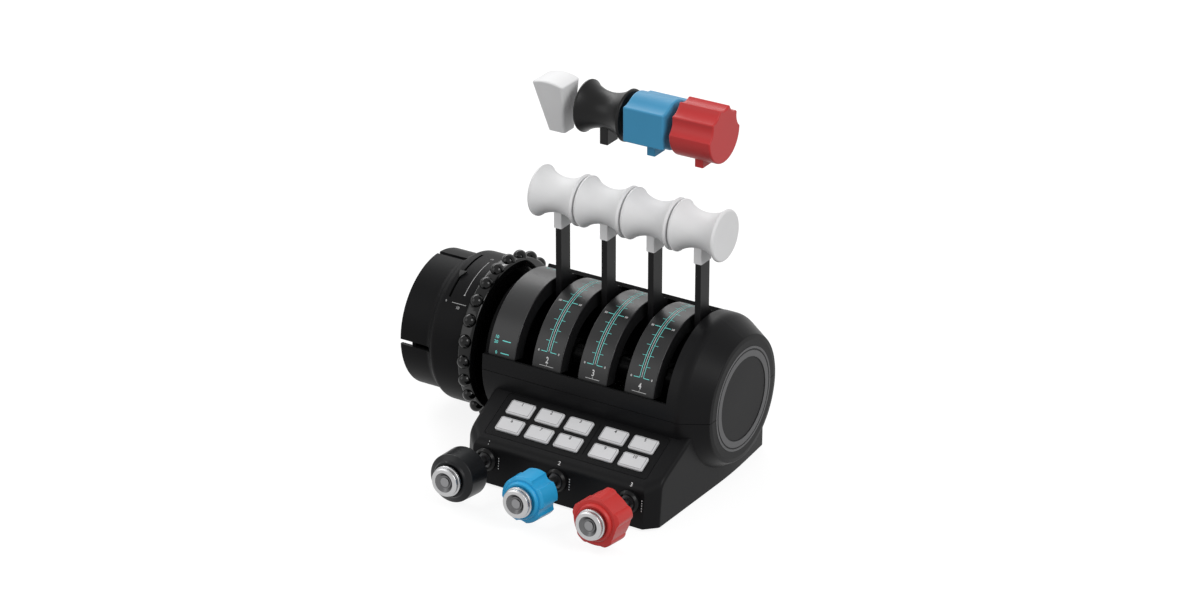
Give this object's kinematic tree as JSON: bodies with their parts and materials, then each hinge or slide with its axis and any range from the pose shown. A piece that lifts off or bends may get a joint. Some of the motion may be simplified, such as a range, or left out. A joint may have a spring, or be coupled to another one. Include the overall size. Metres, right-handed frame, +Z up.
{
  "type": "throttle quadrant",
  "caption": "Desk throttle quadrant: barrel housing with swinging lever arms, trim wheel, slotted docking collar, push buttons and push-pull plunger controls, with spare grips above.",
  "frame": {"origin": "on the table under the barrel axis, midway between the outer levers, at the lowest face of the rubber feet", "axes": "+X to the right along the barrel axis, -Y towards the pilot, +Z up"},
  "size_m": [0.2694, 0.2277, 0.2941],
  "materials": {
    "housing_black": "fine satin moulded texture",
    "inner_black": "plain moulded",
    "end_disc": "satin",
    "silver_trim": "satin silver",
    "panel_grey": "satin, printed scales",
    "lever_black": "satin black paint",
    "grip_white": "satin white",
    "grip_black": "satin black",
    "grip_blue": "satin blue",
    "grip_red": "satin red",
    "wheel_gloss": "gloss black",
    "button_silver": "satin silver grey",
    "cap_silver": "satin metallised",
    "knob_black": "satin black",
    "knob_blue": "satin blue",
    "knob_red": "satin red",
    "steel": "plated",
    "brass": "turned",
    "rubber": "moulded",
    "board": "green laminate"
  },
  "bodies": {
    "root": {"upper_shell": "housing_black", "lower_shell": "housing_black", "bottom_plate": "housing_black", "rubber_feet": "rubber", "base_screws": "steel", "end_disc": "end_disc", "end_rings": "silver_trim", "scale_panel_1": "panel_grey", "scale_panel_2": "panel_grey", "scale_panel_3": "panel_grey", "scale_panel_4": "panel_grey", "lever_axle": "steel", "axle_spacers": "inner_black", "lever_sensors": "inner_black", "wheel_spigot": "inner_black", "drum_cover": "housing_black", "drum_bulkhead": "inner_black", "bulkhead_screws": "steel", "button_bezel": "housing_black", "button_board": "board", "shaft_collar_1": "housing_black", "shaft_collar_2": "housing_black", "shaft_collar_3": "housing_black", "shaft_bushes": "brass", "usb_socket": "steel", "main_board": "board", "travel_sensors": "inner_black", "spare_grip_wedge": "grip_white", "spare_grip_spool": "grip_black", "spare_grip_block": "grip_blue", "spare_grip_drum": "grip_red"},
    "lever_1": {"lever_1": "lever_black", "lever_grip_1": "grip_white"},
    "lever_2": {"lever_2": "lever_black", "lever_grip_2": "grip_white"},
    "lever_3": {"lever_3": "lever_black", "lever_grip_3": "grip_white"},
    "lever_4": {"lever_4": "lever_black", "lever_grip_4": "grip_white"},
    "trim_wheel": {"trim_wheel": "wheel_gloss"},
    "trim_pointer": {"trim_pointer": "silver_trim"},
    "button_1": {"button_1": "button_silver"},
    "button_2": {"button_2": "button_silver"},
    "button_3": {"button_3": "button_silver"},
    "button_4": {"button_4": "button_silver"},
    "button_5": {"button_5": "button_silver"},
    "button_6": {"button_6": "button_silver"},
    "button_7": {"button_7": "button_silver"},
    "button_8": {"button_8": "button_silver"},
    "button_9": {"button_9": "button_silver"},
    "button_10": {"button_10": "button_silver"},
    "plunger_1": {"plunger_shaft_1": "steel"},
    "control_knob_1": {"control_knob_1": "knob_black"},
    "release_cap_1": {"release_cap_1": "cap_silver"},
    "plunger_2": {"plunger_shaft_2": "steel"},
    "control_knob_2": {"control_knob_2": "knob_blue"},
    "release_cap_2": {"release_cap_2": "cap_silver"},
    "plunger_3": {"plunger_shaft_3": "steel"},
    "control_knob_3": {"control_knob_3": "knob_red"},
    "release_cap_3": {"release_cap_3": "cap_silver"}
  },
  "joints": [
    {"name": "lever_1_swing", "type": "hinge", "parent": "root", "child": "lever_1", "pos_m": [-0.06, 0, 0.068], "axis": [1, 0, 0], "range_deg": [-20, 70]},
    {"name": "lever_2_swing", "type": "hinge", "parent": "root", "child": "lever_2", "pos_m": [-0.02, 0, 0.068], "axis": [1, 0, 0], "range_deg": [-20, 70]},
    {"name": "lever_3_swing", "type": "hinge", "parent": "root", "child": "lever_3", "pos_m": [0.02, 0, 0.068], "axis": [1, 0, 0], "range_deg": [-20, 70]},
    {"name": "lever_4_swing", "type": "hinge", "parent": "root", "child": "lever_4", "pos_m": [0.06, 0, 0.068], "axis": [1, 0, 0], "range_deg": [-20, 70]},
    {"name": "trim_wheel_spin", "type": "hinge", "parent": "root", "child": "trim_wheel", "pos_m": [-0.1101, 0, 0.068], "axis": [1, 0, 0], "range_deg": [-540, 540]},
    {"name": "trim_pointer_swing", "type": "hinge", "parent": "root", "child": "trim_pointer", "pos_m": [-0.1352, 0, 0.068], "axis": [1, 0, 0], "range_deg": [-18, 18]},
    {"name": "button_1_press", "type": "slide", "parent": "root", "child": "button_1", "axis": [0, 0.4384, -0.8988], "range_m": [0, 0.0012], "stiffness_N_per_m": 400, "springref_m": -0.0005},
    {"name": "button_2_press", "type": "slide", "parent": "root", "child": "button_2", "axis": [0, 0.4384, -0.8988], "range_m": [0, 0.0012], "stiffness_N_per_m": 400, "springref_m": -0.0005},
    {"name": "button_3_press", "type": "slide", "parent": "root", "child": "button_3", "axis": [0, 0.4384, -0.8988], "range_m": [0, 0.0012], "stiffness_N_per_m": 400, "springref_m": -0.0005},
    {"name": "button_4_press", "type": "slide", "parent": "root", "child": "button_4", "axis": [0, 0.4384, -0.8988], "range_m": [0, 0.0012], "stiffness_N_per_m": 400, "springref_m": -0.0005},
    {"name": "button_5_press", "type": "slide", "parent": "root", "child": "button_5", "axis": [0, 0.4384, -0.8988], "range_m": [0, 0.0012], "stiffness_N_per_m": 400, "springref_m": -0.0005},
    {"name": "button_6_press", "type": "slide", "parent": "root", "child": "button_6", "axis": [0, 0.4384, -0.8988], "range_m": [0, 0.0012], "stiffness_N_per_m": 400, "springref_m": -0.0005},
    {"name": "button_7_press", "type": "slide", "parent": "root", "child": "button_7", "axis": [0, 0.4384, -0.8988], "range_m": [0, 0.0012], "stiffness_N_per_m": 400, "springref_m": -0.0005},
    {"name": "button_8_press", "type": "slide", "parent": "root", "child": "button_8", "axis": [0, 0.4384, -0.8988], "range_m": [0, 0.0012], "stiffness_N_per_m": 400, "springref_m": -0.0005},
    {"name": "button_9_press", "type": "slide", "parent": "root", "child": "button_9", "axis": [0, 0.4384, -0.8988], "range_m": [0, 0.0012], "stiffness_N_per_m": 400, "springref_m": -0.0005},
    {"name": "button_10_press", "type": "slide", "parent": "root", "child": "button_10", "axis": [0, 0.4384, -0.8988], "range_m": [0, 0.0012], "stiffness_N_per_m": 400, "springref_m": -0.0005},
    {"name": "plunger_1_slide", "type": "slide", "parent": "root", "child": "plunger_1", "axis": [0, -0.9945, 0.1045], "range_m": [-0.02, 0.03]},
    {"name": "control_knob_1_turn", "type": "hinge", "parent": "plunger_1", "child": "control_knob_1", "pos_m": [-0.0616, -0.104, 0.02099], "axis": [0, -0.9945, 0.1045], "continuous": true},
    {"name": "release_cap_1_press", "type": "slide", "parent": "control_knob_1", "child": "release_cap_1", "axis": [0, 0.9945, -0.1045], "range_m": [0, 0.002], "stiffness_N_per_m": 400, "springref_m": -0.0005},
    {"name": "plunger_2_slide", "type": "slide", "parent": "root", "child": "plunger_2", "axis": [0, -0.9945, 0.1045], "range_m": [-0.02, 0.03]},
    {"name": "control_knob_2_turn", "type": "hinge", "parent": "plunger_2", "child": "control_knob_2", "pos_m": [0, -0.104, 0.02099], "axis": [0, -0.9945, 0.1045], "continuous": true},
    {"name": "release_cap_2_press", "type": "slide", "parent": "control_knob_2", "child": "release_cap_2", "axis": [0, 0.9945, -0.1045], "range_m": [0, 0.002], "stiffness_N_per_m": 400, "springref_m": -0.0005},
    {"name": "plunger_3_slide", "type": "slide", "parent": "root", "child": "plunger_3", "axis": [0, -0.9945, 0.1045], "range_m": [-0.02, 0.03]},
    {"name": "control_knob_3_turn", "type": "hinge", "parent": "plunger_3", "child": "control_knob_3", "pos_m": [0.0616, -0.104, 0.02099], "axis": [0, -0.9945, 0.1045], "continuous": true},
    {"name": "release_cap_3_press", "type": "slide", "parent": "control_knob_3", "child": "release_cap_3", "axis": [0, 0.9945, -0.1045], "range_m": [0, 0.002], "stiffness_N_per_m": 400, "springref_m": -0.0005}
  ],
  "couplings": [
    {"joint": "trim_pointer_swing", "follows": "trim_wheel_spin", "ratio": 0.033333}
  ]
}
